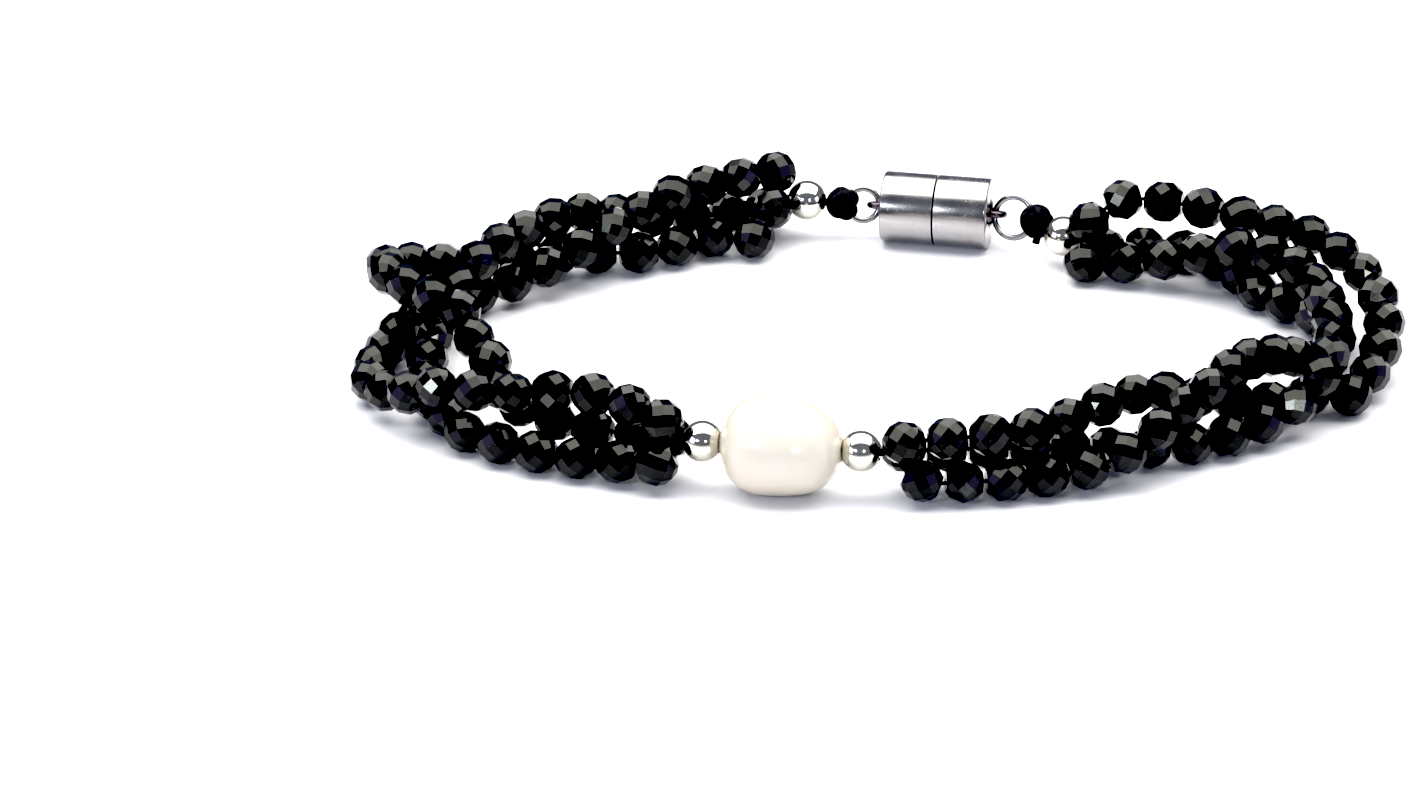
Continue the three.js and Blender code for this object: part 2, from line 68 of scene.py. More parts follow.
# How strings a, b and c of each half lie in the twist: the share of the way along the half, then for each
# string its distance outwards from the middle line and its height, in bead diameters
TWIST = {
    "left": [
        (0.025, (-0.33, 1.67), (-0.73, 0.93), (-0.07, 0.53)),
        (0.07, (-0.6, 1.73), (-0.57, 0.87), (0.23, 0.5)),
        (0.13, (-0.47, 1.7), (-0.7, 0.93), (0.37, 0.5)),
        (0.19, (-0.1, 1.5), (-0.93, 0.97), (0.27, 0.5)),
        (0.25, (0.07, 1.23), (-1.47, 1.03), (0.1, 0.5)),
        (0.31, (0.57, 0.77), (-1.73, 1.23), (-0.23, 0.5)),
        (0.37, (1, 0.53), (-1.63, 1.43), (-0.5, 0.53)),
        (0.43, (0.5, 0.5), (-1.23, 1.73), (-0.6, 0.67)),
        (0.49, (0.3, 0.5), (0.03, 1.7), (-0.75, 0.8)),
        (0.55, (-0.07, 0.5), (1.03, 1.4), (-0.8, 1.1)),
        (0.63, (-0.5, 0.53), (0.9, 0.77), (-0.47, 1.5)),
        (0.71, (-0.67, 0.7), (0.47, 0.5), (0.1, 1.6)),
        (0.79, (-0.47, 1.2), (-0.23, 0.5), (0.57, 1.33)),
        (0.87, (0.23, 1.63), (-0.47, 0.5), (0.67, 0.67)),
        (0.94, (0.4, 1.73), (-0.43, 0.53), (0.43, 0.53)),
        (0.98, (0.13, 1.63), (-0.63, 0.8), (0.4, 0.6)),
    ],
    "right": [
        (0.03, (-0.13, 1.47), (-0.6, 0.87), (0.03, 0.5)),
        (0.08, (-0.07, 1.6), (-0.7, 0.93), (-0.03, 0.5)),
        (0.14, (-0.17, 1.53), (-0.73, 0.9), (-0.07, 0.5)),
        (0.2, (-0.33, 1.63), (-0.53, 0.67), (0.13, 0.53)),
        (0.26, (-0.67, 1.73), (0, 0.5), (0.4, 0.9)),
        (0.32, (-0.67, 1.43), (0.37, 0.5), (0.1, 1.43)),
        (0.38, (-0.8, 0.87), (0.5, 0.5), (-0.57, 1.7)),
        (0.44, (-0.33, 0.5), (0.47, 0.5), (-0.93, 1.57)),
        (0.5, (0.6, 0.5), (-0.07, 0.87), (-0.9, 1.07)),
        (0.56, (0.6, 0.77), (-0.47, 1.13), (-0.8, 0.53)),
        (0.63, (0.53, 1.2), (-0.83, 1.4), (-0.6, 0.5)),
        (0.7, (0.33, 1.63), (-0.77, 1.47), (-0.73, 0.5)),
        (0.77, (0.1, 1.73), (-0.53, 1.4), (-0.9, 0.5)),
        (0.84, (0.3, 1.73), (-0.5, 0.97), (-0.33, 0.5)),
        (0.9, (0.33, 1.73), (-0.4, 0.53), (0.27, 0.5)),
        (0.95, (0.43, 1.73), (-0.73, 0.53), (0.4, 0.53)),
        (0.98, (0.1, 1.6), (-0.53, 0.67), (0.33, 0.67)),
    ],
}
STRINGS = ("a", "b", "c")

# Bare string before the first bead of a string that starts late, in metres
LATE_START = {"left": (0.0, 0.0, 0.0003), "right": (0.0, 0.0002, 0.0012)}

# Each end of the clasp: its side, the ring's outside diameter, how the ring and the cord turn from the
# barrel's own direction, how the cord rises, in degrees, and how far the knot's short end hangs
CLASP_ENDS = {
    "left": {"side": -1, "ring": 0.00275, "ring_turn": 4, "cord_turn": 6, "cord_rise": 4, "tail": 0.0},
    "right": {"side": 1, "ring": 0.0034, "ring_turn": -14, "cord_turn": -34, "cord_rise": -7, "tail": 0.9},
}
FRONT_X, FRONT_TURN = -0.0071, -8.5
BARREL_X, BARREL_TURN = 0.0044, -10.4
RING_LEAN = 20
SEAT_GAP = 0.00012
BORE_RADIUS = 0.00042
DIMPLE_DEPTH, DIMPLE_RADIUS = 0.0003, 0.00085
PEARL_FULLEST, PEARL_CREST, PEARL_FALL = -0.12, -0.2, 0.22
STRING_LEAD, STRING_PARTING = 0.00195, 0.00025
EYE_RADIUS, EYE_WIRE, EYE_STANDOFF = 0.00066, 0.0005, 0.00034
KNOT_RADIUS, KNOT_INSET = 0.00108, 0.0003
SETTLE_ROUNDS, SETTLE_HOMING, SETTLE_STRIDE = 900, 0.06, 1.2

# Beads: heights of the rings of corners from the waist up and the bore, as shares of the radius, then how
# girth and length vary as shares, how far an axis strays, and the mean and spread of the facets' tint
BEAD_CLEARANCE = 0.0001
BEAD_HEIGHTS, BEAD_BORE = (0.0, 0.38, 0.7, 0.9), 0.15
BEAD_GIRTHS, BEAD_LENGTHS, BEAD_STRAY = (0.98, 1.045), (0.96, 1.0), 0.04
BEAD_TINT, BEAD_TINT_SPREAD, BEAD_SEED = 0.5, 0.2, 11
THREAD_TUCK = 0.3  # how deep a string's thread runs into a ball, as a share of the ball's diameter

# Pearl: powers of its outline, which make it fuller as they grow, and its slow swells: share of the girth,
# lobes round it, turn to a metre along it, and start
PEARL_FLANK, PEARL_CURVE, PEARL_BLEND = 2.7, 2.2, 6
PEARL_SWELLS = ((0.006, 3, 900, 0.7), (0.005, 2, -1500, 2.1))
BALL_LIP = 0.00007

# Barrel: half of its seam, the rounding of its profile's corners, the boss on its end (height, then foot and
# top as shares of the radius), and how far the blackening reaches and how deep it is on eye and ring
BARREL_SIDES = 24  # of the solid barrel, which rests on one of its flats
HALF_SEAM, BARREL_ROUNDING = 0.00005, (0.00005, 0.0002, 0.0001, 0.00006)
BOSS_HEIGHT, BOSS_FOOT, BOSS_TOP = 0.0002, 0.42, 0.3
STAIN_REACH, EYE_STAIN, RING_STAIN = 0.45, 0.85, 0.3

# Knots: radius of a winding's cord, its room inside the knot, how far it swings outwards and sideways, and
# how much longer the short end hangs than its share says and how far it sways. The map's step along a
# winding sets how close its plies lie
WINDING, WINDING_ROOM, WINDING_OUT, WINDING_SIDE = 0.00042, 0.00004, 0.00022, 0.0005
WINDING_MAP = 0.06
CORD_REACH, TAIL_ROOT, TAIL_EXTRA, TAIL_SWAY = 0.0001, 0.3, 0.0006, 0.0002

# Soft panels: name, place, aim, width, height, watts and colour
PANELS = (
    ("overhead panel", (0.0, 0.17, 0.4), (0.0, 0.1699, 0.0), 0.9, 0.62, 9.5, (1.0, 0.99, 0.97)),
    ("left window", (-0.32, -0.5, 0.27), (0.0, 0.0, 0.0), 0.1, 0.08, 1.1, (0.86, 0.92, 1.0)),
    ("right window", (0.17, -0.56, 0.27), (0.0, 0.0, 0.0), 0.06, 0.09, 0.6, (0.92, 0.95, 1.0)),
    ("left side", (-0.55, -0.3, 0.2), (0.0, 0.0, 0.0), 0.34, 0.3, 0.9, (0.7, 0.67, 1.0)),
    ("right side", (0.55, -0.25, 0.18), (0.0, 0.0, 0.0), 0.26, 0.26, 0.5, (0.72, 0.68, 1.0)),
)
WORLD_COLOUR, WORLD_STRENGTH = (0.62, 0.68, 0.8, 1), 0.38
FLOOR_REACH, FLOOR_DROP = 2.5, 0.00002

# Camera: its aim point, distance, elevation in degrees and lens in millimetres, and the light that its
# picture shows as black, which gives the photograph's hard contrast
CAMERA_AIM = (-0.01184, 0.003461, -0.004512)
CAMERA_DISTANCE, CAMERA_ELEVATION, CAMERA_LENS = 0.75, 25.0, 266.96
BLACK_LEVEL = (0.052, 0.052, 0.049)


def length_of(name, text, value):
    """A length in metres for the panel."""
    return FloatProperty(name=name, description=text, default=value, min=0.0, unit="LENGTH", precision=5)


def colour_of(name, text, value):
    """A colour for the panel."""
    return FloatVectorProperty(
        name=name, description=text, default=value, size=3, min=0.0, max=1.0, subtype="COLOR"
    )


def share_of(name, text, value):
    """A value from nought to one for the panel."""
    return FloatProperty(name=name, description=text, default=value, min=0.0, max=1.0, subtype="FACTOR")


class BraceletSizes(PropertyGroup):
    """Sizes of the bracelet's parts"""

    loop_width: length_of("Loop width", "Middle of the strings across the loop at its widest", 0.0676)
    loop_depth: length_of("Loop depth", "From the pearl's axis to the clasp's", 0.042)
    bead_diameter: length_of("Bead diameter", "Faceted bead, across its widest", 0.003)
    bead_pitch: length_of("Bead pitch", "From bead to bead along a string", 0.00295)
    bead_sides: IntProperty(name="Bead sides", description="Facets round a bead", default=8, min=6, max=16)
    ball_diameter: length_of("Ball diameter", "Silver ball", 0.0029)
    pearl_length: length_of("Pearl length", "Along its drilled axis", 0.0084)
    pearl_rise: length_of("Pearl rise", "From the pearl's axis up", 0.0035)
    pearl_drop: length_of("Pearl drop", "From the pearl's axis down", 0.0034)
    pearl_side: length_of("Pearl side", "From the pearl's axis to its side", 0.00355)
    barrel_diameter: length_of("Barrel diameter", "Barrel clasp, across", 0.0051)
    barrel_length: length_of("Barrel length", "Both halves, closed", 0.0078)
    ring_wire: length_of("Ring wire", "Wire of the clasp's rings", 0.00044)
    cord_diameter: length_of("Cord diameter", "Thread that is knotted to the clasp", 0.00056)
    string_diameter: length_of("String diameter", "Thread inside the beads", 0.00028)


class BraceletFinish(PropertyGroup):
    """Colours and polish of the bracelet's parts and of the stage"""

    bead_colour: colour_of("Bead colour", "Body of the black beads", (0.003, 0.003, 0.0045))
    bead_sheen: colour_of("Bead sheen", "Tint of what a bead mirrors face on", (0.93, 0.94, 0.82))
    bead_roughness: share_of("Bead roughness", "Polish of the facets", 0.06)
    pearl_colour: colour_of("Pearl colour", "Nacre under its clear layer", (0.735, 0.765, 0.81))
    pearl_veil: colour_of("Pearl veil", "Tint of the clear layer over the nacre", (0.8, 0.74, 0.6))
    silver_colour: colour_of("Silver colour", "Polished balls", (0.7, 0.67, 0.6))
    clasp_colour: colour_of("Clasp colour", "Polished barrel and rings", (0.34, 0.33, 0.33))
    thread_colour: colour_of("Thread colour", "Black thread", (0.004, 0.0036, 0.005))
    floor_colour: colour_of("Floor colour", "Glossy pale surface", (0.86, 0.86, 0.87))


def catmull(points, t):
    """Uniform Catmull-Rom curve through the points at shares t of its spans, its outer points mirrored."""
    p = np.asarray(points, float)
    p = np.vstack([2 * p[0] - p[1], p, 2 * p[-1] - p[-2]])
    spans = len(p) - 3
    x = np.clip(np.asarray(t, float) * spans, 0, spans)
    i = np.minimum(x.astype(int), spans - 1)
    w = (x - i)[:, None]
    p0, p1, p2, p3 = p[i], p[i + 1], p[i + 2], p[i + 3]
    m1, m2 = (p2 - p0) / 2, (p3 - p1) / 2
    return (2 * p1 - 2 * p2 + m1 + m2) * w**3 + (3 * p2 - 3 * p1 - 2 * m1 - m2) * w**2 + m1 * w + p1


def curve_length(points, shares):
    """Curve parameters at shares of the curve's length, from a table of 201 points, and that length."""
    t = np.linspace(0, 1, 201)
    steps = np.linalg.norm(np.diff(catmull(points, t), axis=0), axis=1)
    run = np.concatenate([[0], np.cumsum(steps)])
    return np.interp(np.asarray(shares) * run[-1], run, t), run[-1]


def heading(turn, rise=0.0):
    """Unit vector at a turn about +Z from +X, raised by the second angle, both in degrees."""
    turn, rise = np.radians(turn), np.radians(rise)
    return np.array([np.cos(turn) * np.cos(rise), np.sin(turn) * np.cos(rise), np.sin(rise)])


def unit(v):
    """Vectors divided by their own lengths."""
    return v / np.linalg.norm(v, axis=-1, keepdims=True)


def front_layout(size):
    """The pearl's centre and axis, and how far its balls and the strings' parting points lie from it."""
    ball = size.ball_diameter / 2
    centre = np.array([FRONT_X, -size.loop_depth / 2, size.pearl_drop])
    reach = size.pearl_length / 2 + np.sqrt(ball**2 - DIMPLE_RADIUS**2) + SEAT_GAP
    return centre, heading(FRONT_TURN), reach, reach + ball + STRING_PARTING


def clasp_layout(size, end):
    """Places of the eye, ring, knot, ball and parting point of one end of the clasp."""
    ball = size.ball_diameter / 2
    flat = size.barrel_diameter / 2 * np.cos(np.pi / BARREL_SIDES)
    centre = np.array([BARREL_X, size.loop_depth / 2, flat])
    base = BARREL_TURN + (180 if end["side"] < 0 else 0)
    along, ring_along = heading(base), heading(base + end["ring_turn"])
    cord_along = heading(base + end["cord_turn"], end["cord_rise"])
    ring_radius = (end["ring"] - size.ring_wire) / 2
    eye = centre + along * (size.barrel_length / 2 + EYE_STANDOFF)
    ring = eye + ring_along * ring_radius
    knot = ring + ring_along * (ring_radius + KNOT_INSET)
    middle = knot + cord_along * (KNOT_RADIUS + ball + SEAT_GAP)
    mouth = middle + cord_along * (ball + STRING_PARTING)
    return {
        "centre": centre, "base": base, "along": along, "ring_turn": base + end["ring_turn"],
        "ring_along": ring_along, "cord_along": cord_along, "ring_radius": ring_radius, "eye": eye,
        "ring": ring, "knot": knot, "ball": middle, "mouth": mouth,
    }


def string_routes(size, half, start, finish):
    """The three strings' curves of one half: offsets and heights laid out from its middle line."""
    side = -1 if half == "left" else 1
    flat = np.array([1.0, 1.0, 0.0])
    inner = [(x * size.loop_width / 2, y * size.loop_depth / 2, 0.0) for x, y in PLAN[half]]
    plan = np.array([start * flat, *inner, finish * flat])
    at, _ = curve_length(plan, [row[0] for row in TWIST[half]])
    tangent = unit(catmull(plan, np.minimum(at + 1e-4, 1)) - catmull(plan, np.maximum(at - 1e-4, 0)))
    outwards = np.stack([tangent[:, 1], -tangent[:, 0], 0 * at], axis=1) * side
    middle = catmull(plan, at)
    routes = []
    for k in range(len(STRINGS)):
        lay = np.array([row[1 + k] for row in TWIST[half]]) * size.bead_diameter
        points = middle + outwards * lay[:, :1]
        points[:, 2] = lay[:, 1]
        routes.append(np.vstack([start, points, finish]))
    return routes


def settle(strings, stones, size):
    """Moves all beads together until links keep their length and nothing overlaps.

    In each round a bead takes the mean of the pushes on it: half of each link's error, half of each overlap
    with another bead, and the whole overlap with a stone or the table. For the first half of the rounds it
    is also drawn a little way back to its first place."""
    radius, apart = size.bead_diameter / 2, size.bead_diameter + BEAD_CLEARANCE
    place = np.vstack([s["beads"] for s in strings])
    home, total = place.copy(), len(place)
    first, second, links = [], [], []
    tips, anchors, leads = [], [], []
    base = 0
    for s in strings:
        count = len(s["beads"])
        first += range(base, base + count - 1)
        second += range(base + 1, base + count)
        links += [s["pitch"]] * (count - 1)
        tips += [base, base + count - 1]
        anchors += [s["start"], s["finish"]]
        leads += [s["lead"], STRING_LEAD]
        base += count
    links, anchors, leads = np.array(links), np.array(anchors), np.array(leads)
    loose = ~np.eye(total, dtype=bool)
    loose[first, second] = loose[second, first] = False
    for turn in range(SETTLE_ROUNDS):
        move, pushes = np.zeros_like(place), np.zeros(total)
        step = place[second] - place[first]
        far = np.linalg.norm(step, axis=1)
        step *= ((far - links) / far / 2)[:, None]
        np.add.at(move, first, step)
        np.add.at(move, second, -step)
        np.add.at(pushes, first, 1)
        np.add.at(pushes, second, 1)
        step = anchors - place[tips]
        far = np.linalg.norm(step, axis=1)
        np.add.at(move, tips, step * ((far - leads) / far)[:, None])
        np.add.at(pushes, tips, 1)
        gap = place[None] - place[:, None]
        far = np.linalg.norm(gap, axis=2)
        near = loose & (far < apart)
        weight = np.where(near, (far - apart) / np.maximum(far, 1e-9) / 2, 0)
        move += (gap * weight[..., None]).sum(axis=1)
        pushes += near.sum(axis=1)
        for centre, reach in stones:
            step = place - centre
            far = np.linalg.norm(step, axis=1)
            close = far < reach
            move += step * np.where(close, (reach - far) / far, 0)[:, None]
            pushes += close
        low = place[:, 2] < radius
        move[:, 2] += np.where(low, radius - place[:, 2], 0)
        pushes += low
        place += move * (SETTLE_STRIDE / np.maximum(pushes, 1))[:, None]
        if turn < SETTLE_ROUNDS / 2:
            place += (home - place) * SETTLE_HOMING
    return np.split(place, np.cumsum([len(s["beads"]) for s in strings])[:-1])


def bracelet_layout(size):
    """Everything's place: the front, both ends of the clasp and every bead, in the frame's own axes."""
    centre, axis, ball_at, mouth_at = front_layout(size)
    ends = {name: clasp_layout(size, end) for name, end in CLASP_ENDS.items()}
    strings = []
    for half, side in (("left", -1), ("right", 1)):
        start, finish = centre + axis * side * mouth_at, ends[half]["mouth"]
        for k, route in enumerate(string_routes(size, half, start, finish)):
            _, whole = curve_length(route, [0.0])
            lead = STRING_LEAD + LATE_START[half][k]
            room = whole - lead - STRING_LEAD
            count = int(np.floor(room / size.bead_pitch + 0.5)) + 1
            shares = (lead + np.arange(count) * room / (count - 1)) / whole
            at, _ = curve_length(route, shares)
            strings.append({
                "name": f"{half}_{STRINGS[k]}", "beads": catmull(route, at), "pitch": room / (count - 1),
                "lead": lead, "start": start, "finish": finish,
            })
    ball = size.ball_diameter / 2
    clear = size.bead_diameter / 2 + BEAD_CLEARANCE
    stones = [(centre - axis * ball_at, ball + clear), (centre + axis * ball_at, ball + clear)]
    stones += [(end["ball"], ball + clear) for end in ends.values()]
    stones += [(centre, size.pearl_side + clear)]
    low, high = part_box("ball_front_left")
    shift = (np.array(low) + np.array(high)) / 2 - stones[0][0]
    for string, beads in zip(strings, settle(strings, stones, size)):
        string["beads"] = beads + shift
        string["start"] = string["start"] + shift
        string["finish"] = string["finish"] + shift
    for end in ends.values():
        for key in ("centre", "eye", "ring", "knot", "ball", "mouth"):
            end[key] = end[key] + shift
    balls = {
        "front_left": (centre - axis * ball_at + shift, axis),
        "front_right": (centre + axis * ball_at + shift, axis),
        "back_left": (ends["left"]["ball"], ends["left"]["cord_along"]),
        "back_right": (ends["right"]["ball"], ends["right"]["cord_along"]),
    }
    return {"pearl": (centre + shift, axis), "balls": balls, "ends": ends, "strings": strings}


_layouts = {}


def layout():
    """The bracelet's layout for the sizes in use, worked out once for each set of sizes."""
    size = bpy.context.scene.bracelet_sizes
    key = tuple(getattr(size, name) for name in BraceletSizes.__annotations__)
    if key not in _layouts:
        _layouts[key] = bracelet_layout(size)
    return _layouts[key]


def add_mesh(name, points, faces, look, smooth=True, node=None, uv=None, values=None):
    """Puts points and faces into a new object that rides on the frame and takes its material's slot."""
    mesh = bpy.data.meshes.new(name)
    mesh.from_pydata(np.asarray(points).reshape(-1, 3).tolist(), [], faces)
    mesh.polygons.foreach_set("use_smooth", np.full(len(mesh.polygons), smooth))
    if uv is not None:
        corners = np.zeros(len(mesh.loops), int)
        mesh.loops.foreach_get("vertex_index", corners)
        layer = mesh.uv_layers.new(name="UVMap")
        layer.data.foreach_set("uv", np.asarray(uv).reshape(-1, 2)[corners].ravel())
    if values is not None:
        layer = mesh.attributes.new("tint", "FLOAT", "FACE")
        layer.data.foreach_set("value", np.asarray(values, float))
    mesh.update()
    piece = bpy.data.objects.new(name, mesh)
    bpy.context.scene.collection.objects.link(piece)
    piece.data.materials.append(look)
    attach(piece, "root")
    if node:
        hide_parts(node)
    return piece


def grid_faces(rows, columns, wrap_rows=False, start=0):
    """Four-cornered faces between the neighbours of a grid whose rows are closed, numbered row by row."""
    i = np.arange(rows if wrap_rows else rows - 1)[:, None]
    j = np.arange(columns)[None]
    a = i * columns + j
    b = i * columns + (j + 1) % columns
    c = ((i + 1) % rows) * columns + (j + 1) % columns
    d = ((i + 1) % rows) * columns + j
    return (np.stack([a, b, c, d], axis=-1).reshape(-1, 4) + start).tolist()


def basis(axis):
    """Two vectors square to an axis: one level, one pointing up as far as it can."""
    level = unit(np.cross(axis, (0.0, 0.0, 1.0)))
    return level, np.cross(level, axis)


def turned(profile, columns):
    """Surface of revolution about the third axis: each profile point (radius, height) swept round."""
    angle = np.linspace(0, 2 * np.pi, columns, endpoint=False)
    radius, height = np.asarray(profile)[:, 0, None], np.asarray(profile)[:, 1, None]
    return np.stack([radius * np.cos(angle), radius * np.sin(angle), height + 0 * angle], axis=-1)


def placed(points, centre, axis):
    """Points made along the third axis, put at a centre so that the third axis runs along `axis`."""
    level, up = basis(axis)
    return centre + points[..., :1] * level + points[..., 1:2] * up + points[..., 2:] * axis


def tube(path, radius, sides, closed=False):
    """Rings of points round a path, each square to it, with frames carried along by the least turn."""
    path = np.asarray(path, float)
    if closed:
        tangent = unit(np.roll(path, -1, axis=0) - np.roll(path, 1, axis=0))
    else:
        tangent = unit(np.gradient(path, axis=0))
    side = np.cross(tangent[0], (0.31, 0.17, 0.93))
    sides_of = np.zeros_like(path)
    for k, t in enumerate(tangent):
        side = side - t * side.dot(t)
        side = side / np.linalg.norm(side)
        sides_of[k] = side
    other = np.cross(tangent, sides_of)
    angle = np.linspace(0, 2 * np.pi, sides, endpoint=False)[None, :, None]
    radius = np.broadcast_to(radius, len(path))[:, None, None]
    ring = radius * (np.cos(angle) * sides_of[:, None] + np.sin(angle) * other[:, None])
    return path[:, None] + ring


def capped_tube(path, radius, sides):
    """A tube whose ends are closed by flat fans: points, faces and a map that runs along it."""
    path = np.asarray(path, float)
    rings = tube(path, radius, sides)
    count = len(path)
    run = np.concatenate([[0], np.cumsum(np.linalg.norm(np.diff(path, axis=0), axis=1))])
    points = np.vstack([rings.reshape(-1, 3), path[:1], path[-1:]])
    faces = grid_faces(count, sides)
    first, last = count * sides, count * sides + 1
    for j in range(sides):
        k = (j + 1) % sides
        faces.append([first, k, j])
        faces.append([last, first - sides + j, first - sides + k])
    around = np.arange(sides) / sides
    u, v = np.meshgrid(around, run / (2 * np.pi * np.max(radius)))
    uv = np.vstack([np.stack([u, v], axis=-1).reshape(-1, 2), [[0, v[0, 0]], [0, v[-1, 0]]]])
    return points, faces, uv


def joined(shapes):
    """Several shapes of points, faces and map as one, each one's faces numbered on from the last."""
    faces, start = [], 0
    for points, quads, _ in shapes:
        faces += [[start + corner for corner in quad] for quad in quads]
        start += len(points)
    return np.vstack([shape[0] for shape in shapes]), faces, np.vstack([shape[2] for shape in shapes])


def rounded(corners, radii, steps=6):
    """A profile whose corners are replaced by arcs: each arc is cut back by its radius along both sides."""
    corners = np.asarray(corners, float)
    out = [corners[:1]]
    for k in range(1, len(corners) - 1):
        before, here, after = corners[k - 1], corners[k], corners[k + 1]
        a, b = here + unit(before - here) * radii[k - 1], here + unit(after - here) * radii[k - 1]
        t = np.linspace(0, 1, steps)[:, None]
        out.append((1 - t) ** 2 * a + 2 * t * (1 - t) * here + t**2 * b)
    out.append(corners[-1:])
    return np.vstack(out)


def bead_rings(sides):
    """Radii of a bead's staggered rings of corners, from its waist up, for a radius of 1.

    A four-sided facet has its side corners on one ring and its tips on the rings below and above, so it is
    flat where the tips and the middle of the side corners lie on one line. Each ring is found that way from
    the two before it."""
    squeeze = np.cos(np.pi / sides)
    radii = [1.0, squeeze]
    for k in range(2, len(BEAD_HEIGHTS)):
        two_below, below, here = BEAD_HEIGHTS[k - 2:k + 1]
        share = (here - two_below) / (below - two_below)
        radii.append(radii[k - 2] + (radii[k - 1] * squeeze - radii[k - 2]) * share)
    return radii


def bead_shape(sides):
    """One cut bead of radius 1 along the third axis, drilled through: its corners and facets."""
    radii, heights = bead_rings(sides), BEAD_HEIGHTS
    top = len(radii) - 1
    order = list(range(-top, top + 1))
    points = []
    for k in order:
        angle = 2 * np.pi * (np.arange(sides) + (abs(k) % 2) / 2) / sides
        r, z = radii[abs(k)], heights[abs(k)] * (1 if k >= 0 else -1)
        points.append(np.stack([r * np.cos(angle), r * np.sin(angle), z + 0 * angle], axis=1))
    for z in (-heights[top], heights[top]):
        angle = 2 * np.pi * np.arange(sides) / sides
        points.append(np.stack([BEAD_BORE * np.cos(angle), BEAD_BORE * np.sin(angle), z + 0 * angle], axis=1))
    row = {k: i * sides for i, k in enumerate(order)}
    low, high = len(order) * sides, (len(order) + 1) * sides
    faces = []
    for j in range(sides):
        n = (j + 1) % sides
        for k in range(-top + 1, top):
            tip = n if k % 2 else j
            faces.append([row[k] + j, row[k - 1] + tip, row[k] + n, row[k + 1] + tip])
        tip = n if top % 2 else j
        faces.append([row[top] + j, row[top - 1] + tip, row[top] + n])
        faces.append([row[-top] + n, row[-top + 1] + tip, row[-top] + j])
        faces.append([row[top] + j, row[top] + n, high + n, high + j])
        faces.append([row[-top] + n, row[-top] + j, low + j, low + n])
        faces.append([high + j, high + n, low + n, low + j])
    return np.vstack(points), faces


def bead_strings(size, finish):
    """Every string's beads: the cut shape set on each bead's own axis, turned and sized a little unevenly."""
    look = bead_material(finish)
    shape, facets = bead_shape(size.bead_sides)
    facets = [np.array(f) for f in facets]
    chance = np.random.default_rng(BEAD_SEED)
    for string in layout()["strings"]:
        beads = string["beads"]
        count = len(beads)
        half = string["pitch"] / 2
        joints = np.vstack([
            beads[0] + unit(string["start"] - beads[0]) * half,
            (beads[1:] + beads[:-1]) / 2,
            beads[-1] + unit(string["finish"] - beads[-1]) * half,
        ])
        axis = unit(np.diff(joints, axis=0) + chance.normal(0, BEAD_STRAY * half, (count, 3)))
        level = unit(np.cross(axis, (0.0, 0.0, 1.0)))
        up = np.cross(level, axis)
        spin = chance.uniform(0, 2 * np.pi, count)[:, None]
        u = np.cos(spin) * level + np.sin(spin) * up
        v = np.cross(axis, u)
        girth = size.bead_diameter / 2 * chance.uniform(*BEAD_GIRTHS, count)[:, None]
        girth = np.minimum(girth, beads[:, 2:])
        length = chance.uniform(*BEAD_LENGTHS, count)[:, None]
        points = beads[:, None] + (
            shape[None, :, :1] * (u * girth)[:, None]
            + shape[None, :, 1:2] * (v * girth)[:, None]
            + shape[None, :, 2:] * (axis * girth * length)[:, None]
        )
        faces = [(f + k * len(shape)).tolist() for k in range(count) for f in facets]
        tint = np.clip(chance.normal(BEAD_TINT, BEAD_TINT_SPREAD, len(faces)), 0, 1)
        add_mesh(
            f"beads_{string['name']}", points, faces, look, smooth=False,
            node=f"strand_{string['name']}", values=tint,
        )


def string_threads(size, finish, steps=8, sides=8):
    """The thread inside each string: a tube through the bead centres, from ball to ball."""
    look = thread_material(finish)
    tuck = size.ball_diameter * THREAD_TUCK
    for half, side in (("left", -1), ("right", 1)):
        shapes = []
        for string in layout()["strings"]:
            if not string["name"].startswith(half):
                continue
            inner = string["start"] - layout()["pearl"][1] * side * tuck
            outer = string["finish"] - layout()["ends"][half]["cord_along"] * tuck
            stops = np.vstack([inner, string["start"], string["beads"], string["finish"], outer])
            path = catmull(stops, np.linspace(0, 1, steps * len(stops)))
            shapes.append(capped_tube(path, size.string_diameter / 2, sides))
        points, faces, uv = joined(shapes)
        add_mesh(f"strings_{half}", points, faces, look, uv=uv)


def silver_balls(size, finish, rows=49, columns=64):
    """Four drilled balls: a circle's arc turned round its bore, with a small rounded lip at each end."""
    look = silver_material(finish)
    radius = size.ball_diameter / 2
    start = np.arcsin((BORE_RADIUS + BALL_LIP) / radius)
    angle = np.linspace(start, np.pi - start, rows)
    arc = np.stack([radius * np.sin(angle), -radius * np.cos(angle)], axis=1)
    inner = radius * np.cos(start) - BALL_LIP
    lip = [(BORE_RADIUS + BALL_LIP * 0.3, inner + BALL_LIP * 0.75), (BORE_RADIUS, inner)]
    profile = np.vstack([arc, lip, [(away, -height) for away, height in reversed(lip)]])
    for name, (centre, axis) in layout()["balls"].items():
        grid = placed(turned(profile, columns), centre, axis)
        faces = grid_faces(*grid.shape[:2], wrap_rows=True)
        add_mesh(f"silver_ball_{name}", grid, faces, look, node=f"ball_{name}")


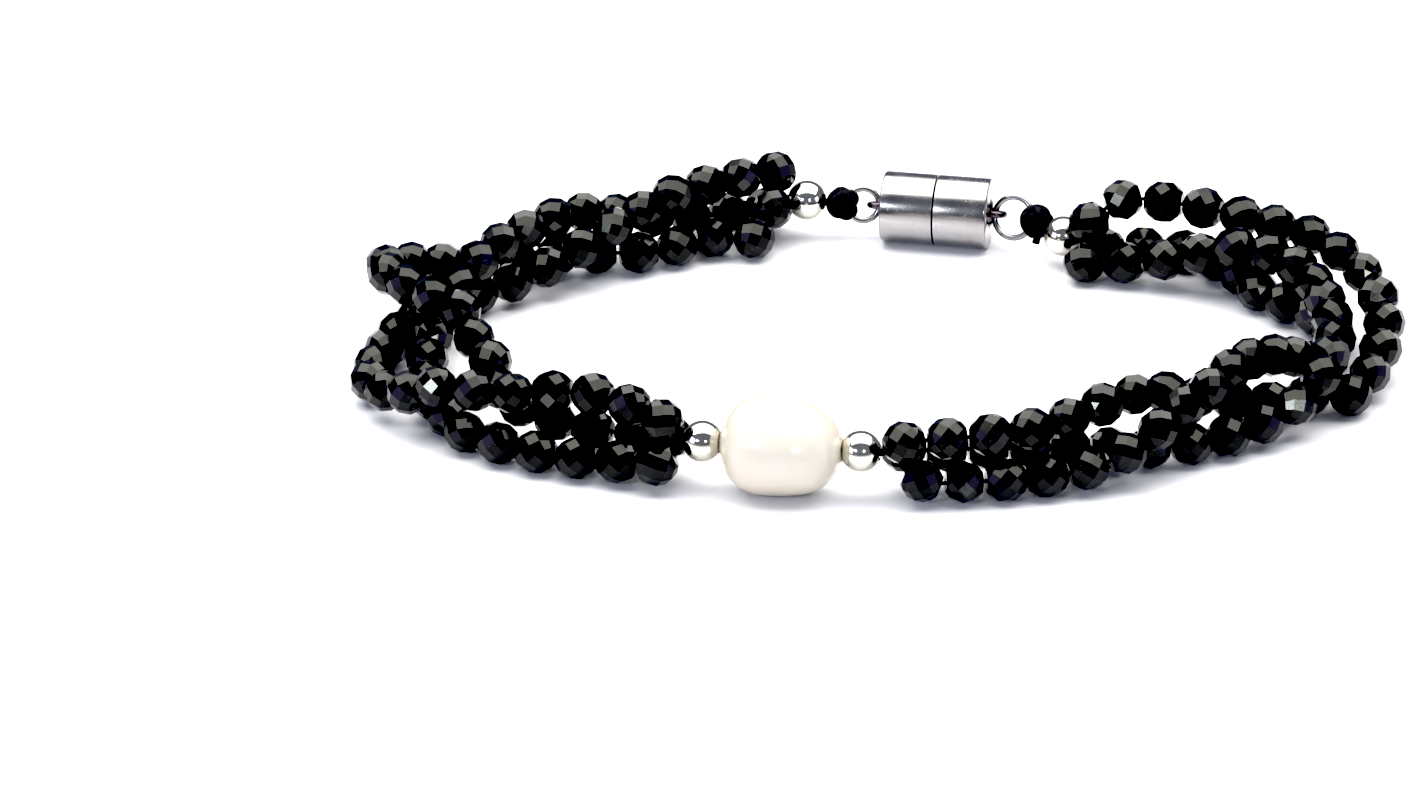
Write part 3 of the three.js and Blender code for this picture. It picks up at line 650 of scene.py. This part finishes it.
def pearl_surface(size, rows=120, columns=128):
    """The pearl along the third axis: a full oval whose girth falls off as a power of the distance from its
    fullest place, drawn out to its own rise, drop and side, with slow swells, and a dimple at each hole.
    The rise falls away to the right with the square of the distance from the crest."""
    half = size.pearl_length / 2
    s = np.sin(np.pi / 2 * np.linspace(-1, 1, rows))
    reach = np.abs(s - PEARL_FULLEST) / np.where(s < PEARL_FULLEST, 1 + PEARL_FULLEST, 1 - PEARL_FULLEST)
    girth = np.maximum(1 - reach**PEARL_FLANK, 0) ** (1 / PEARL_CURVE) * size.pearl_side
    girth = (girth**PEARL_BLEND + DIMPLE_RADIUS**PEARL_BLEND) ** (1 / PEARL_BLEND)
    fade = np.linspace(0, 1, 7)[:-1]
    lip_radius = BORE_RADIUS + (DIMPLE_RADIUS - BORE_RADIUS) * np.sin(fade * np.pi / 2)
    lip_depth = DIMPLE_DEPTH * np.cos(fade * np.pi / 2)
    radius = np.concatenate([lip_radius, girth, lip_radius[::-1]])
    height = np.concatenate([-half + lip_depth, half * s, half - lip_depth[::-1]])
    grid = turned(np.stack([radius, height], axis=1), columns)
    level, up, along = grid[..., 0], grid[..., 1], grid[..., 2]
    away = np.hypot(level, up)
    share = np.clip((away - DIMPLE_RADIUS) / (size.pearl_side - DIMPLE_RADIUS), 0, 1)
    upright = (up / away) ** 2
    rise = size.pearl_rise * (1 - PEARL_FALL * np.maximum(0, along / half - PEARL_CREST) ** 2)
    goal = np.where(up > 0, rise, size.pearl_drop)
    round_it = np.arctan2(up, level)
    swell = sum(
        part * np.sin(lobes * round_it + twist * along + begin) for part, lobes, twist, begin in PEARL_SWELLS
    )
    scale = 1 + share * (upright * (goal / size.pearl_side - 1) + swell)
    return np.stack([level * scale, up * scale, along], axis=-1)


def pearl_piece(size, finish):
    """The drilled pearl, set on its axis."""
    centre, axis = layout()["pearl"]
    grid = placed(pearl_surface(size), centre, axis)
    faces = grid_faces(*grid.shape[:2], wrap_rows=True)
    add_mesh("nacre_pearl", grid, faces, pearl_material(finish), node="pearl")


def torus(radius, wire, around=96, sides=20):
    """A ring in the first two axes: a circle of the wire's radius carried round a circle."""
    u = np.linspace(0, 2 * np.pi, around, endpoint=False)[:, None]
    v = np.linspace(0, 2 * np.pi, sides, endpoint=False)[None]
    reach = radius + wire / 2 * np.cos(v)
    return np.stack([reach * np.cos(u), reach * np.sin(u), wire / 2 * np.sin(v) + 0 * u], axis=-1)


def leaned(points, lean, turn, centre):
    """Points turned about the first axis by `lean`, then about the third by `turn`, degrees, and moved."""
    lean, turn = np.radians(lean), np.radians(turn)
    x, y, z = points[..., 0], points[..., 1], points[..., 2]
    y, z = y * np.cos(lean) - z * np.sin(lean), y * np.sin(lean) + z * np.cos(lean)
    x, y = x * np.cos(turn) - y * np.sin(turn), x * np.sin(turn) + y * np.cos(turn)
    return np.stack([x, y, z], axis=-1) + centre


def clasp_pieces(size, finish, around=64, sides=16):
    """The two halves of the barrel: a rounded profile turned about the axis, and a wire eye on the end.

    A ring of wire hangs in each eye. The eye and the barrel's end beside it are blackened."""
    look = clasp_material(finish)
    radius, length = size.barrel_diameter / 2, size.barrel_length / 2
    boss = length + BOSS_HEIGHT
    corners = [
        (0, HALF_SEAM), (radius, HALF_SEAM), (radius, length),
        (radius * BOSS_FOOT, length), (radius * BOSS_TOP, boss), (0, boss),
    ]
    profile = rounded(corners, BARREL_ROUNDING)
    shell = turned(profile[1:-1], around * 2)
    for name, end in layout()["ends"].items():
        grid = placed(shell, end["centre"], end["along"])
        rows, columns = grid.shape[:2]
        poles = end["centre"] + np.outer([profile[0, 1], profile[-1, 1]], end["along"])
        faces = grid_faces(rows, columns)
        first, last = rows * columns, rows * columns + 1
        for j in range(columns):
            k = (j + 1) % columns
            faces.append([first, k, j])
            faces.append([last, first - columns + j, first - columns + k])
        lean = -RING_LEAN * np.sign(end["along"][0])
        eye = leaned(torus(EYE_RADIUS, EYE_WIRE, around, sides), lean, end["base"], end["eye"])
        points = np.vstack([grid.reshape(-1, 3), poles, eye.reshape(-1, 3)])
        plain = len(faces)
        faces += grid_faces(around, sides, wrap_rows=True, start=last + 1)
        near_axis = (profile[1:-1, 0] < radius * STAIN_REACH) & (profile[1:-1, 1] > length / 2)
        tint = np.full(len(faces), EYE_STAIN)
        tint[:plain] = 0.0
        tint[: (rows - 1) * columns] = np.repeat(near_axis[:-1], columns) * EYE_STAIN
        add_mesh(f"barrel_{name}", points, faces, look, node=f"clasp_half_{name}", values=tint)
        lean = RING_LEAN * np.sign(end["ring_along"][0])
        ring = leaned(torus(end["ring_radius"], size.ring_wire), 90 - lean, end["ring_turn"], end["ring"])
        faces = grid_faces(*ring.shape[:2], wrap_rows=True)
        tint = np.full(len(faces), RING_STAIN)
        add_mesh(f"wire_ring_{name}", ring, faces, look, node=f"ring_{name}", values=tint)


def knot_pieces(size, finish, steps=180, sides=16):
    """The knotted ends: two three-lobed windings of cord, the cord through the ball, and a short end.

    A winding's line goes twice round its axis while its reach and its height swing three times."""
    look = thread_material(finish)
    t = np.linspace(0, 2 * np.pi, steps + 1)[:-1]
    reach = KNOT_RADIUS - WINDING - WINDING_ROOM + WINDING_OUT * np.cos(3 * t)
    cord_reach = KNOT_RADIUS + SEAT_GAP + size.ball_diameter + CORD_REACH
    for name, end in layout()["ends"].items():
        along = end["cord_along"]
        level, up = basis(along)
        shapes = []
        for first, second, third in ((along, up, level), (up, level, along)):
            lobes = (
                end["knot"]
                + (reach * np.cos(2 * t))[:, None] * first
                + (reach * np.sin(2 * t))[:, None] * second
                + (WINDING_SIDE * np.sin(3 * t))[:, None] * third
            )
            grid = tube(lobes, WINDING, sides, closed=True)
            u, v = np.meshgrid(np.arange(sides) / sides, np.arange(steps) * WINDING_MAP)
            uv = np.stack([u, v], axis=-1).reshape(-1, 2)
            shapes.append((grid.reshape(-1, 3), grid_faces(*grid.shape[:2], wrap_rows=True), uv))
        runs = [end["knot"] + np.outer(np.linspace(0.1, 1, 24) * cord_reach, along)]
        tail = CLASP_ENDS[name]["tail"] * KNOT_RADIUS
        if tail > 0:
            s = np.linspace(0, 1, 12)[:, None]
            root = end["knot"] + along * TAIL_ROOT * KNOT_RADIUS
            runs.append(root - up * s * (tail + TAIL_EXTRA) + level * s**2 * TAIL_SWAY)
        shapes += [capped_tube(run, size.cord_diameter / 2, 14) for run in runs]
        points, faces, uv = joined(shapes)
        add_mesh(f"knot_{name}", points, faces, look, node=f"knotted_cord_{name}", uv=uv)
    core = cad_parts["thread_front"]
    core.data.materials.clear()
    core.data.materials.append(look)


class Graph:
    """Short ways to add and join nodes in one tree."""

    def __init__(self, tree):
        self.tree = tree

    def node(self, kind, **values):
        made = self.tree.nodes.new(kind)
        for key, value in values.items():
            setattr(made, key, value)
        return made

    def join(self, source, target):
        self.tree.links.new(source, target)

    def feed(self, socket, value):
        if isinstance(value, bpy.types.NodeSocket):
            self.join(value, socket)
        else:
            socket.default_value = value

    def math(self, operation, a, b=0.0, clamp=False):
        made = self.node("ShaderNodeMath", operation=operation, use_clamp=clamp)
        self.feed(made.inputs[0], a)
        self.feed(made.inputs[1], b)
        return made.outputs[0]

    def blend(self, share, a, b):
        made = self.node("ShaderNodeMix", data_type="RGBA")
        self.feed(made.inputs["Factor"], share)
        self.feed(made.inputs["A"], a)
        self.feed(made.inputs["B"], b)
        return made.outputs["Result"]

    def ramp(self, value, low, high, out_low=0.0, out_high=1.0):
        made = self.node("ShaderNodeMapRange")
        for key, given in (("Value", value), ("From Min", low), ("From Max", high),
                           ("To Min", out_low), ("To Max", out_high)):
            self.feed(made.inputs[key], given)
        return made.outputs["Result"]

    def noise(self, vector, scale, detail=3.0):
        made = self.node("ShaderNodeTexNoise")
        self.feed(made.inputs["Vector"], vector)
        self.feed(made.inputs["Scale"], scale)
        made.inputs["Detail"].default_value = detail
        return made.outputs["Fac"]

    def cells(self, vector, scale):
        made = self.node("ShaderNodeTexVoronoi")
        self.feed(made.inputs["Vector"], vector)
        self.feed(made.inputs["Scale"], scale)
        return made.outputs["Distance"]

    def stretched(self, vector, scale, turn=(0.0, 0.0, 0.0)):
        made = self.node("ShaderNodeMapping")
        self.feed(made.inputs["Vector"], vector)
        made.inputs["Scale"].default_value = scale
        made.inputs["Rotation"].default_value = turn
        return made.outputs["Vector"]

    def bump(self, height, strength, distance):
        made = self.node("ShaderNodeBump")
        self.feed(made.inputs["Height"], height)
        made.inputs["Strength"].default_value = strength
        made.inputs["Distance"].default_value = distance
        return made.outputs["Normal"]

    def value(self, colour):
        return (*colour, 1.0)


def polish_group():
    """Marks that handling leaves on a polished surface: hair scratches one way and another, specks of dust
    and a slow haze. Inputs are the place and the marks to a metre; outputs are masks and a height."""
    name = "polish marks"
    if name in bpy.data.node_groups:
        return bpy.data.node_groups[name]
    tree = bpy.data.node_groups.new(name, "ShaderNodeTree")
    tree.interface.new_socket("Vector", in_out="INPUT", socket_type="NodeSocketVector")
    tree.interface.new_socket("Scale", in_out="INPUT", socket_type="NodeSocketFloat")
    for output in ("Scratches", "Dust", "Haze", "Height"):
        tree.interface.new_socket(output, in_out="OUTPUT", socket_type="NodeSocketFloat")
    g = Graph(tree)
    given, out = g.node("NodeGroupInput"), g.node("NodeGroupOutput")
    place, scale = given.outputs["Vector"], given.outputs["Scale"]
    one = g.noise(g.stretched(place, (1, 14, 3), (0.3, 0.2, 0.5)), scale, 2.0)
    two = g.noise(g.stretched(place, (12, 1, 5), (0.9, 0.1, -0.4)), scale, 2.0)
    marks = g.math("MAXIMUM", g.ramp(one, 0.64, 0.72), g.ramp(two, 0.65, 0.73))
    dust = g.ramp(g.cells(place, g.math("MULTIPLY", scale, 1.3)), 0.16, 0.06)
    dust = g.math("MULTIPLY", dust, g.ramp(g.noise(place, g.math("MULTIPLY", scale, 0.3)), 0.52, 0.6), True)
    haze = g.ramp(g.noise(place, g.math("MULTIPLY", scale, 0.22), 4.0), 0.35, 0.7)
    height = g.math("SUBTRACT", g.math("MULTIPLY", dust, 0.8), g.math("MULTIPLY", marks, 0.5))
    for socket, value in zip(("Scratches", "Dust", "Haze", "Height"), (marks, dust, haze, height)):
        g.join(value, out.inputs[socket])
    return tree


def new_material(name):
    """A material with its Principled BSDF, and a helper for its tree."""
    look = bpy.data.materials.new(name)
    look.use_nodes = True
    g = Graph(look.node_tree)
    return look, g, look.node_tree.nodes["Principled BSDF"]


def polish_marks(g, vector, scale):
    """Outputs of the handling marks at a place, with so many marks to a metre."""
    made = g.node("ShaderNodeGroup", node_tree=polish_group())
    g.join(vector, made.inputs["Vector"])
    made.inputs["Scale"].default_value = scale
    return made.outputs


def worn_roughness(g, rough, marks, haze, scratches, dust):
    """A roughness raised by what haze, scratches and dust each add."""
    for name, share in (("Haze", haze), ("Scratches", scratches), ("Dust", dust)):
        rough = g.math("ADD", rough, g.math("MULTIPLY", marks[name], share), True)
    return rough


def bead_material(finish):
    """Black cut stone: near-black body, mirror facets that differ a little in polish, dust."""
    look, g, shader = new_material("cut black stone")
    place = g.node("ShaderNodeTexCoord").outputs["Object"]
    tint = g.node("ShaderNodeAttribute", attribute_name="tint").outputs["Fac"]
    marks = polish_marks(g, place, 3200)
    body = g.value(finish.bead_colour)
    smoky = g.value([c * 2.6 + 0.004 for c in finish.bead_colour])
    veil = g.ramp(g.noise(place, 900, 4.0), 0.4, 0.7)
    colour = g.blend(g.math("MULTIPLY", veil, tint), body, smoky)
    colour = g.blend(g.math("MULTIPLY", marks["Dust"], 0.35), colour, (0.32, 0.31, 0.3, 1))
    g.join(colour, shader.inputs["Base Color"])
    rough = g.math("ADD", finish.bead_roughness, g.math("MULTIPLY", tint, 0.06))
    g.join(worn_roughness(g, rough, marks, haze=0.04, scratches=0.12, dust=0.4), shader.inputs["Roughness"])
    g.join(g.bump(marks["Height"], 0.06, 0.00001), shader.inputs["Normal"])
    shader.inputs["IOR"].default_value = 1.5
    shader.inputs["Specular IOR Level"].default_value = 0.36
    shader.inputs["Specular Tint"].default_value = g.value(finish.bead_sheen)
    return look


def pearl_material(finish):
    """Nacre: cream with a pink and a green cast in drifts, faint growth lines round the axis, fine pits."""
    look, g, shader = new_material("nacre")
    place = g.node("ShaderNodeTexCoord").outputs["Object"]
    drift = g.noise(place, 260, 3.0)
    pink = g.blend(g.ramp(drift, 0.4, 0.66), g.value(finish.pearl_colour), (0.74, 0.73, 0.79, 1))
    colour = g.blend(g.ramp(g.noise(place, 190, 2.0), 0.5, 0.75, 0.0, 0.6), pink, (0.71, 0.78, 0.8, 1))
    g.join(colour, shader.inputs["Base Color"])
    lines = g.noise(g.stretched(place, (9, 1.2, 1.2), (0, 0, np.radians(-FRONT_TURN))), 420, 4.0)
    pits = g.ramp(g.cells(place, 900), 0.14, 0.02)
    height = g.math("SUBTRACT", g.math("MULTIPLY", lines, 0.5), g.math("MULTIPLY", pits, 0.6))
    g.join(g.bump(height, 0.03, 0.00003), shader.inputs["Normal"])
    g.join(g.ramp(lines, 0.3, 0.7, 0.34, 0.4), shader.inputs["Roughness"])
    shader.inputs["Subsurface Weight"].default_value = 0.85
    shader.inputs["Subsurface Radius"].default_value = (1.0, 0.8, 0.6)
    shader.inputs["Subsurface Scale"].default_value = 0.0016
    shader.inputs["Coat Weight"].default_value = 1.0
    shader.inputs["Coat Roughness"].default_value = 0.18
    shader.inputs["Coat Tint"].default_value = g.value(finish.pearl_veil)
    shader.inputs["Sheen Weight"].default_value = 0.12
    shader.inputs["Sheen Tint"].default_value = (1.0, 0.86, 0.84, 1)
    return look


def metal_material(name, colour, tarnish, base, span, scale, dark=None):
    """Polished metal: mirror with a slow haze, hair scratches, specks, and a faint warm or cool tarnish.

    Its roughness is the base and, where there is haze, the span. With a dark colour, a piece is blackened by
    the share that its tint gives."""
    look, g, shader = new_material(name)
    place = g.node("ShaderNodeTexCoord").outputs["Object"]
    marks = polish_marks(g, place, scale)
    veil = g.math("MULTIPLY", g.ramp(g.noise(place, scale * 0.18, 4.0), 0.45, 0.75), 0.5)
    shade = g.blend(veil, g.value(colour), g.value(tarnish))
    shade = g.blend(g.math("MULTIPLY", marks["Dust"], 0.5), shade, (0.35, 0.34, 0.33, 1))
    if dark:
        tint = g.node("ShaderNodeAttribute", attribute_name="tint").outputs["Fac"]
        shade = g.blend(tint, shade, g.value(dark))
    g.join(shade, shader.inputs["Base Color"])
    shader.inputs["Metallic"].default_value = 1.0
    g.join(worn_roughness(g, base, marks, haze=span, scratches=0.1, dust=0.3), shader.inputs["Roughness"])
    g.join(g.bump(marks["Height"], 0.08, 0.00001), shader.inputs["Normal"])
    return look


def silver_material(finish):
    """Polished silver balls, a little warm where they have toned."""
    return metal_material(
        "polished silver", finish.silver_colour, tarnish=(0.5, 0.43, 0.34), base=0.04, span=0.07, scale=2600
    )


def clasp_material(finish):
    """Plated clasp: a cooler polish, with the same handling marks at a wider spacing."""
    return metal_material(
        "plated clasp", finish.clasp_colour, tarnish=(0.26, 0.235, 0.22), base=0.17, span=0.1, scale=1800,
        dark=(0.05, 0.035, 0.042),
    )


def thread_material(finish):
    """Black twisted thread: plies that run round it at a slant, with fuzz and a soft sheen."""
    if "twisted thread" in bpy.data.materials:
        return bpy.data.materials["twisted thread"]
    look, g, shader = new_material("twisted thread")
    uv = g.node("ShaderNodeTexCoord").outputs["UV"]
    place = g.node("ShaderNodeTexCoord").outputs["Object"]
    split = g.node("ShaderNodeSeparateXYZ")
    g.join(uv, split.inputs[0])
    slant = g.math("ADD", g.math("MULTIPLY", split.outputs["X"], 3.0), split.outputs["Y"])
    ply = g.math("ABSOLUTE", g.math("SINE", g.math("MULTIPLY", slant, np.pi)))
    fuzz = g.noise(place, 9000, 3.0)
    height = g.math("ADD", ply, g.math("MULTIPLY", fuzz, 0.4))
    dark = g.value(finish.thread_colour)
    worn = g.value([c * 3 + 0.004 for c in finish.thread_colour])
    g.join(g.blend(g.math("MULTIPLY", height, 0.6, True), dark, worn), shader.inputs["Base Color"])
    g.join(g.ramp(fuzz, 0.3, 0.7, 0.5, 0.8), shader.inputs["Roughness"])
    g.join(g.bump(height, 0.7, 0.00005), shader.inputs["Normal"])
    shader.inputs["Specular IOR Level"].default_value = 0.12
    shader.inputs["Sheen Weight"].default_value = 0.02
    return look


def floor_material(finish):
    """Glossy pale surface with faint drifts of tone and polish."""
    look, g, shader = new_material("glossy floor")
    place = g.node("ShaderNodeTexCoord").outputs["Object"]
    drift = g.noise(place, 6.0, 3.0)
    pale = g.value(finish.floor_colour)
    colour = g.blend(g.ramp(drift, 0.3, 0.7, 0.0, 0.04), pale, (0.8, 0.8, 0.82, 1))
    g.join(colour, shader.inputs["Base Color"])
    g.join(g.ramp(drift, 0.3, 0.7, 0.12, 0.15), shader.inputs["Roughness"])
    return look


def area_light(name, place, aim, width, height, power, colour):
    """A soft panel at a place, facing an aim point."""
    data = bpy.data.lights.new(name, "AREA")
    data.shape = "RECTANGLE"
    data.size, data.size_y = width, height
    data.energy = power
    data.color = colour
    lamp = bpy.data.objects.new(name, data)
    bpy.context.scene.collection.objects.link(lamp)
    facing = unit(np.array(place) - np.array(aim))
    level, up = basis(facing)
    pose = np.eye(4)
    pose[:3] = np.stack([-level, up, facing, place], axis=1)
    lamp.matrix_world = Matrix(pose)


def stage(finish):
    """Floor, world, soft panels and the camera at the photograph's angle."""
    scene = bpy.context.scene
    mesh = bpy.data.meshes.new("floor")
    sides = [(-1, -1), (1, -1), (1, 1), (-1, 1)]
    corners = [(x * FLOOR_REACH, y * FLOOR_REACH, -FLOOR_DROP) for x, y in sides]
    mesh.from_pydata(corners, [], [(0, 1, 2, 3)])
    floor = bpy.data.objects.new("floor", mesh)
    scene.collection.objects.link(floor)
    mesh.materials.append(floor_material(finish))

    world = bpy.data.worlds.new("studio")
    world.use_nodes = True
    backdrop = world.node_tree.nodes["Background"]
    backdrop.inputs["Color"].default_value = WORLD_COLOUR
    backdrop.inputs["Strength"].default_value = WORLD_STRENGTH
    scene.world = world

    for panel in PANELS:
        area_light(*panel)

    data = bpy.data.cameras.new("camera")
    data.sensor_width = 36.0
    data.lens = CAMERA_LENS
    data.clip_start, data.clip_end = 0.05, 20.0
    camera = bpy.data.objects.new("camera", data)
    scene.collection.objects.link(camera)
    lift = np.radians(CAMERA_ELEVATION)
    back = np.array([0.0, -np.cos(lift), np.sin(lift)])
    camera.location = np.array(CAMERA_AIM) + back * CAMERA_DISTANCE
    camera.rotation_euler = (np.pi / 2 - lift, 0.0, 0.0)
    scene.camera = camera
    scene.view_settings.view_transform = "Standard"
    scene.view_settings.look = "None"
    scene.view_settings.use_curve_mapping = True
    scene.view_settings.curve_mapping.black_level = BLACK_LEVEL
    scene.view_settings.curve_mapping.update()


class BuildsPieces:
    """The run of an operator that calls its builders with the bracelet's sizes and finish."""

    def execute(self, context):
        for build in self.builders:
            build(context.scene.bracelet_sizes, context.scene.bracelet_finish)
        return {"FINISHED"}


class BRACELET_OT_beads(BuildsPieces, Operator):
    """Add the cut beads of all strings and the thread inside them"""

    bl_idname = "bracelet.beads"
    bl_label = "Bead strings"
    builders = (bead_strings, string_threads)


class BRACELET_OT_pearl(BuildsPieces, Operator):
    """Add the drilled pearl"""

    bl_idname = "bracelet.pearl"
    bl_label = "Pearl"
    builders = (pearl_piece,)


class BRACELET_OT_balls(BuildsPieces, Operator):
    """Add the four silver balls"""

    bl_idname = "bracelet.balls"
    bl_label = "Silver balls"
    builders = (silver_balls,)


class BRACELET_OT_clasp(BuildsPieces, Operator):
    """Add the barrel clasp and its rings"""

    bl_idname = "bracelet.clasp"
    bl_label = "Barrel clasp"
    builders = (clasp_pieces,)


class BRACELET_OT_knots(BuildsPieces, Operator):
    """Add the knotted thread at each ring, and finish the thread at the front"""

    bl_idname = "bracelet.knots"
    bl_label = "Knotted thread"
    builders = (knot_pieces,)


class BRACELET_OT_stage(Operator):
    """Add the floor, the lights and the camera"""

    bl_idname = "bracelet.stage"
    bl_label = "Stage"

    def execute(self, context):
        stage(context.scene.bracelet_finish)
        return {"FINISHED"}


class BRACELET_PT_panel(Panel):
    """Sizes, finishes and pieces of the bracelet"""

    bl_idname = "BRACELET_PT_panel"
    bl_label = "Bracelet"
    bl_space_type = "VIEW_3D"
    bl_region_type = "UI"
    bl_category = "Bracelet"

    def draw(self, context):
        for group in (context.scene.bracelet_sizes, context.scene.bracelet_finish):
            box = self.layout.box()
            for name in group.__annotations__:
                box.prop(group, name)
        for kind in OPERATORS:
            self.layout.operator(kind.bl_idname)


OPERATORS = (
    BRACELET_OT_beads,
    BRACELET_OT_pearl,
    BRACELET_OT_balls,
    BRACELET_OT_clasp,
    BRACELET_OT_knots,
    BRACELET_OT_stage,
)
CLASSES = (BraceletSizes, BraceletFinish, *OPERATORS, BRACELET_PT_panel)


def register():
    for kind in CLASSES:
        bpy.utils.register_class(kind)
    bpy.types.Scene.bracelet_sizes = PointerProperty(type=BraceletSizes)
    bpy.types.Scene.bracelet_finish = PointerProperty(type=BraceletFinish)


def unregister():
    del bpy.types.Scene.bracelet_finish
    del bpy.types.Scene.bracelet_sizes
    for kind in reversed(CLASSES):
        bpy.utils.unregister_class(kind)


def main():
    register()
    bpy.ops.bracelet.beads()
    bpy.ops.bracelet.pearl()
    bpy.ops.bracelet.balls()
    bpy.ops.bracelet.clasp()
    bpy.ops.bracelet.knots()
    bpy.ops.bracelet.stage()


if __name__ == "__main__":
    main()
